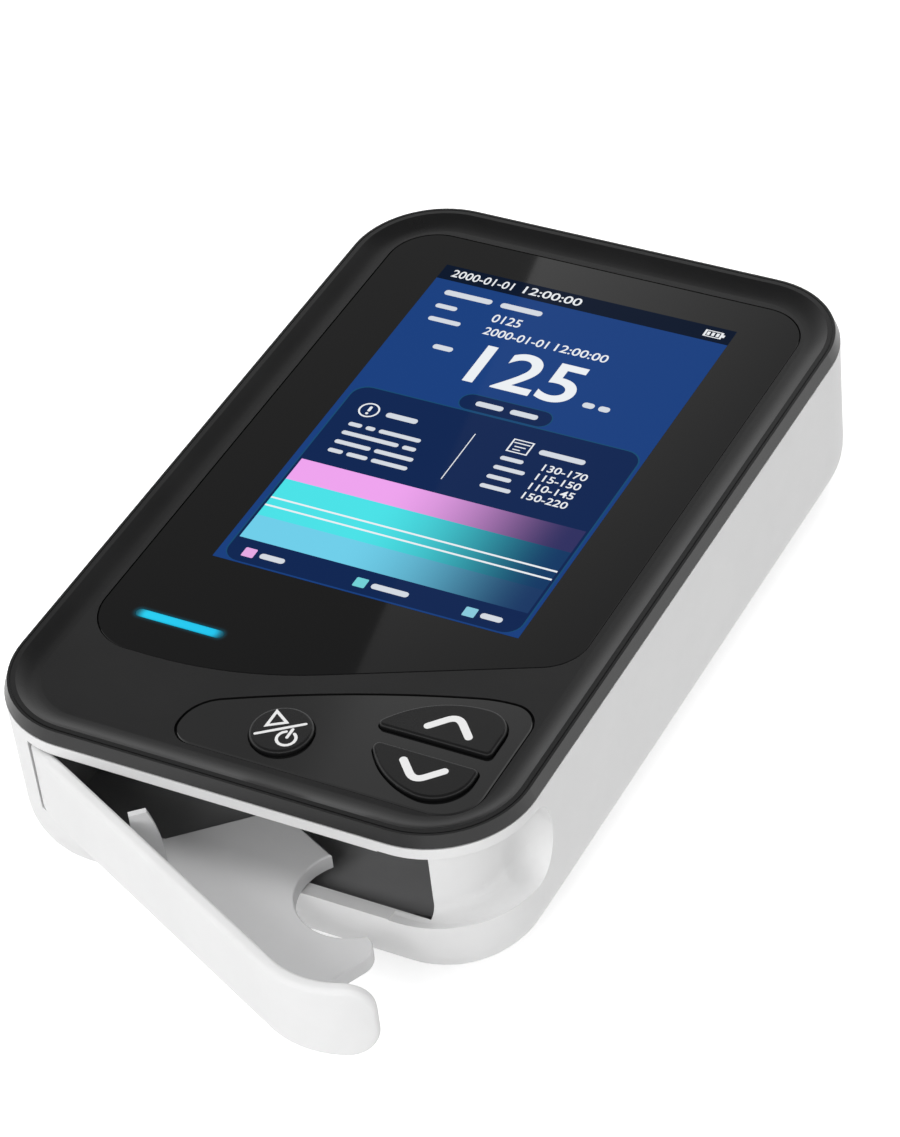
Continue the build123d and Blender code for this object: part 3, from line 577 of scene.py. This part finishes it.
def start_sign():
    """Outlines of the frame of the start triangle, one for each side."""
    left = power_middle + Vector((-2.25, 1.4))
    inscribed = start_base * start_depth / (start_base + 2 * hypot(start_depth, start_base / 2))
    centre = left + Vector((inscribed, 0))
    corners = [
        left + Vector((0, start_base / 2)),
        left + Vector((start_depth, 0)),
        left - Vector((0, start_base / 2)),
    ]
    share = power_line / 2 / inscribed
    outer = [centre + (corner - centre) * (1 + share) for corner in corners]
    inner = [centre + (corner - centre) * (1 - share) for corner in corners]
    return [[outer[i - 1], outer[i], inner[i], inner[i - 1]] for i in range(3)]


def power_sign():
    """Outlines of the slash, and of the open ring with its upright stroke."""
    ring_middle = power_middle + Vector((1.55, -1.4))
    first, last = 90 + power_ring_half_gap, 450 - power_ring_half_gap
    turns = [radians(first + (last - first) * step / 16) for step in range(17)]
    ring = [ring_middle + power_ring_radius * Vector((cos(turn), sin(turn))) for turn in turns]
    slash = [power_middle + Vector((-2.9, -2.1)), power_middle + Vector((2.7, 2.1))]
    stroke = [ring_middle + Vector((0, 1.9)), ring_middle + Vector((0, 0.2))]
    return [thick_line(line, power_line) for line in (slash, stroke, ring)]


ink = white_ink()
up_arrow = chevron(up_low.y + arrow_tip_from_gap, up_low.y + up_ends_from_gap)
down_arrow = chevron(down_high.y - arrow_tip_from_gap, down_high.y - down_ends_from_gap)
for sign, outlines, body in (
    ("up_sign", [up_arrow], "up_key"),
    ("down_sign", [down_arrow], "down_key"),
    ("power_sign", power_sign() + start_sign(), "power_key"),
):
    flat_piece(sign, outlines, key_top - ink_bite, ink_height, ink, body)

# Tray plate.
# Grey satin moulding that carries the sample slip over the notch, with an upright blade that
# shades the bay. It is tongued into the tray front.
plate_grey = (0.68, 0.68, 0.685)
plate_grey_shade = (0.64, 0.64, 0.645)
plate_plastic = moulded_plastic(
    "plate_plastic", plate_grey, plate_grey_shade, roughness=0.45, grain=2600, depth=0.02 * mm
)
dress("tray_plate", plate_plastic)

# Bay liner.
# Dark grey matte moulding round the sides and back of the tray bay, dull so that stray light
# dies in it.
liner_grey = (0.27, 0.27, 0.273)
liner_grey_shade = (0.23, 0.23, 0.233)
liner_plastic = moulded_plastic(
    "liner_plastic", liner_grey, liner_grey_shade, roughness=0.6, grain=2600, depth=0.03 * mm
)
dress("bay_liner", liner_plastic)

# Optical block, chips and buzzer.
# Dull black mouldings: the block that holds the light path with its lamp and detector, the
# packages on the main board, and the case of the sounder.
optic_black = (0.012, 0.012, 0.012)
optic_black_shade = (0.009, 0.009, 0.009)
optic_plastic = moulded_plastic(
    "optic_black", optic_black, optic_black_shade, roughness=0.7, grain=2600, depth=0.03 * mm
)
for part in ("optical_block", "light_source", "light_detector", "board_chips", "buzzer"):
    dress(part, optic_plastic)

# Metal pieces.
# Steel hinge pin, detent spring, screws, switch domes, display bracket and socket shell, drawn
# or pressed from sheet, with fine lines along the work.
steel_tone = 0.62
steel_tint = (0.85, 0.86, 0.88)
steel_roughness = 0.28
line_stretch = 0.04


def drawn_steel():
    """Bright steel with fine drawn lines and small changes of sheen."""
    material, graph, skin = new_material("bright_steel")
    skin["Metallic"].default_value = 1.0
    stretch = graph.add("Mapping", Scale=(1.0, 1.0, line_stretch))
    graph.link(graph.place(), stretch.inputs["Vector"])
    lines = graph.noise(stretch.outputs["Vector"], 5000.0, detail=3.0)
    dark = [steel_tone * share for share in steel_tint]
    graph.link(graph.ramp(lines, dark, [steel_tone] * 3), skin["Base Color"])
    sheen = graph.remap(lines, (0, 1), (steel_roughness - 0.06, steel_roughness + 0.06))
    graph.link(sheen, skin["Roughness"])
    return material


bright_steel = drawn_steel()
for part in (
    "hinge_pin", "case_screws", "charging_port", "display_bracket", "detent_spring", "key_switches"
):
    dress(part, bright_steel)

# Circuit boards.
# Glass-fibre boards under a green solder mask, a little uneven over the copper. The main board
# lies under the display, and the small one under the keys.
board_green = (0.012, 0.10, 0.045)
board_green_shade = (0.008, 0.075, 0.03)
board_mask = moulded_plastic(
    "board_green", board_green, board_green_shade, roughness=0.35, grain=1500, depth=0.02 * mm
)
for part in ("main_board", "key_board"):
    dress(part, board_mask)

# Display module.
# Laminated glass of the liquid crystal cell, dark blue where it isn't lit, held in its pressed
# bracket under the window.
module_blue = (0.02, 0.05, 0.10)
module_blue_shade = (0.015, 0.04, 0.08)
module_glass = moulded_plastic(
    "module_glass", module_blue, module_blue_shade, roughness=0.12, grain=1500, depth=0.002 * mm
)
dress("display_module", module_glass)

# Battery.
# Flat rechargeable cell in a grey foil wrap, laid in the cradle on the case floor.
foil_grey = (0.42, 0.43, 0.45)
foil_grey_shade = (0.36, 0.37, 0.39)
cell_wrap = moulded_plastic(
    "cell_wrap", foil_grey, foil_grey_shade, roughness=0.4, grain=1800, depth=0.02 * mm
)
dress("battery", cell_wrap)

# Lenses.
# Two small polished lenses in the light path, one in each arm of the optical block, over and
# under the notch of the plate.
lens_pale = (0.75, 0.8, 0.85)
lens_pale_shade = (0.7, 0.76, 0.82)
lens_glass = moulded_plastic(
    "lens_glass", lens_pale, lens_pale_shade,
    roughness=0.08, grain=1500, depth=0.001 * mm, swing=0.02,
)
dress("beam_lenses", lens_glass)

# Feet.
# Four round pads of dull black rubber, glued into shallow seats under the case so that it
# doesn't slip.
foot_black = (0.035, 0.035, 0.035)
foot_black_shade = (0.025, 0.025, 0.025)
foot_rubber = moulded_plastic(
    "foot_rubber", foot_black, foot_black_shade, roughness=0.75, grain=2200, depth=0.04 * mm
)
dress("feet", foot_rubber)

# Table.
# A large white table top at the soles of the feet. It keeps the object's shadow, and a lift in
# what the camera and reflections see of it makes the background white.
table_half_width = 3.0
table_white = (0.8, 0.8, 0.8)
table_lift = 0.6
table_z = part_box("feet")[0].z


def staged_sheet(name, corners):
    """Flat sheet that isn't part of the object, from its corners."""
    mesh = bpy.data.meshes.new(name)
    mesh.from_pydata(corners, [], [(0, 1, 2, 3)])
    piece = bpy.data.objects.new(name, mesh)
    bpy.context.scene.collection.objects.link(piece)
    return piece


table_outline = round_box(-table_half_width, table_half_width, -table_half_width, table_half_width)
table = staged_sheet("table", [(x, y, table_z) for x, y in table_outline])
table_paint, table_graph, table_skin = new_material("table_paint")
table_skin["Base Color"].default_value = (*table_white, 1)
table_skin["Roughness"].default_value = 0.9
table_skin["Specular IOR Level"].default_value = 0.0
table_skin["Emission Color"].default_value = (1, 1, 1, 1)
table_ray = table_graph.add("LightPath").outputs
table_seen = table_graph.maths("MAXIMUM", table_ray["Is Camera Ray"], table_ray["Is Glossy Ray"])
table_graph.link(table_graph.maths("MULTIPLY", table_seen, table_lift), table_skin["Emission Strength"])
table.data.materials.append(table_paint)

# Studio light.
# Plain even light from all round, and two large soft lamps in front and overhead. What the
# camera and reflections see of the surroundings is white near the floor and dim overhead.
plain_level = 0.45
low_level = 1.0
overhead_level = 0.12
low_height = 0.15
overhead_height = 0.85

studio = bpy.data.worlds.new("studio")
bpy.context.scene.world = studio
studio_graph = Graph(studio)
sky = studio_graph.nodes["Background"].inputs
sky["Color"].default_value = (1, 1, 1, 1)
sky_ray = studio_graph.add("LightPath").outputs
sky_seen = studio_graph.maths("MAXIMUM", sky_ray["Is Camera Ray"], sky_ray["Is Glossy Ray"])
sky_height = studio_graph.split(studio_graph.add("TexCoord").outputs["Generated"])["Z"]
sky_level = studio_graph.remap(
    sky_height, (low_height, overhead_height), (low_level, overhead_level), "SMOOTHSTEP"
)
sky_strength = studio_graph.remap(sky_seen, (0, 1), (plain_level, sky_level))
studio_graph.link(sky_strength, sky["Strength"])


def soft_lamp(name, place, width, height, power):
    """Large area lamp aimed at the object, which neither the camera nor a reflection sees."""
    light = bpy.data.lights.new(name, "AREA")
    light.shape = "RECTANGLE"
    light.size = width
    light.size_y = height
    light.energy = power
    lamp = bpy.data.objects.new(name, light)
    bpy.context.scene.collection.objects.link(lamp)
    lamp.location = place
    lamp.rotation_euler = (-Vector(place)).to_track_quat("-Z", "Y").to_euler()
    lamp.visible_camera = False
    lamp.visible_glossy = False


soft_lamp("front_lamp", place=(0.06, -1.15, 0.70), width=0.8, height=0.6, power=9.0)
soft_lamp("top_lamp", place=(0.1, 0.1, 1.3), width=0.7, height=0.7, power=6.0)

# Window card.
# A pale sheet above the object that only reflections see. Its one sharp edge gives the straight
# step of light on the gloss window and the panel, and it fades from there and towards the front.
card_height = 1.0
card_near, card_far = 0.228, 1.826
card_width = 0.4
card_slant = 0.2
card_edge_x = -0.4256
card_fade_end_x = -0.22
card_dim_y, card_bright_y = 0.80, 1.24
card_dim, card_bright = 0.2, 0.95


def card_corner(across, y):
    """Corner of the card, whose sides lean over by the slant."""
    return (card_edge_x + across - card_slant * y, y, card_height)


card = staged_sheet("window_card", [
    card_corner(0, card_near),
    card_corner(card_width, card_near),
    card_corner(card_width, card_far),
    card_corner(0, card_far),
])
card.visible_camera = False
card.visible_diffuse = False
card.visible_shadow = False
card.visible_transmission = False
card_paint, card_graph = new_material("card_paint")[:2]
card_point = card_graph.split(card_graph.place())
card_across = card_graph.maths("MULTIPLY_ADD", card_point["Y"], card_slant, card_point["X"])
card_beside = card_graph.remap(card_across, (card_edge_x, card_fade_end_x), (1.0, 0.0))
card_along = card_graph.remap(card_point["Y"], (card_dim_y, card_bright_y), (card_dim, card_bright))
card_lit = card_graph.add("Emission")
card_strength = card_graph.maths("MULTIPLY", card_beside, card_along)
card_graph.link(card_strength, card_lit.inputs["Strength"])
card_sum = card_graph.add("AddShader")
card_graph.link(card_lit.outputs[0], card_sum.inputs[0])
card_graph.link(card_graph.add("BsdfTransparent").outputs[0], card_sum.inputs[1])
card_graph.link(card_sum.outputs[0], card_graph.nodes["Material Output"].inputs["Surface"])
card.data.materials.append(card_paint)

# Camera.
# A long lens that looks down on the object from its right front corner, as in the photograph.
camera_place = (0.2450, -0.3925, 0.4107)
camera_turn = (49.286, 5.403, 27.248)
camera_lens = 131.97
camera = bpy.data.cameras.new("camera")
camera.sensor_width = 36.0
camera.lens = camera_lens
camera.clip_start = 0.01
eye = bpy.data.objects.new("camera", camera)
bpy.context.scene.collection.objects.link(eye)
eye.location = camera_place
eye.rotation_euler = [radians(turn) for turn in camera_turn]
bpy.context.scene.camera = eye
bpy.context.scene.view_settings.view_transform = "Standard"
